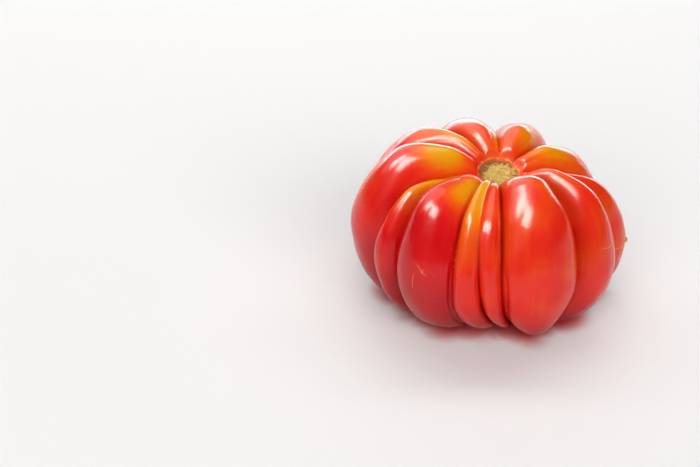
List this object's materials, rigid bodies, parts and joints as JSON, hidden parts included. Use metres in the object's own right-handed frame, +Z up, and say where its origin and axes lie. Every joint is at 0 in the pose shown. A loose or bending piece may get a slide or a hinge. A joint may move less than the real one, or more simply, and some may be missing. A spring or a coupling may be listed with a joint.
{
  "type": "tomato",
  "caption": "Whole ribbed heirloom tomato, a fresh vegetable: a squat, deeply lobed fruit with a sunken corky stem scar, resting on the feet of its lobes.",
  "frame": {"origin": "centre of the bounding box's underside, on the plane the fruit rests on", "axes": "+Z up, from the blossom end through the stem scar; the scar leans a few degrees towards -Y and +X; -Y is the front, with the two narrow lobes; the lobes are numbered from the front towards +X"},
  "size_m": [0.0978, 0.0926, 0.0592],
  "materials": {
    "skin": "glossy waxy red skin, shading to amber near the stem scar; the scar itself is matt beige cork"
  },
  "bodies": {
    "root": {"tomato": "skin"}
  },
  "joints": []
}
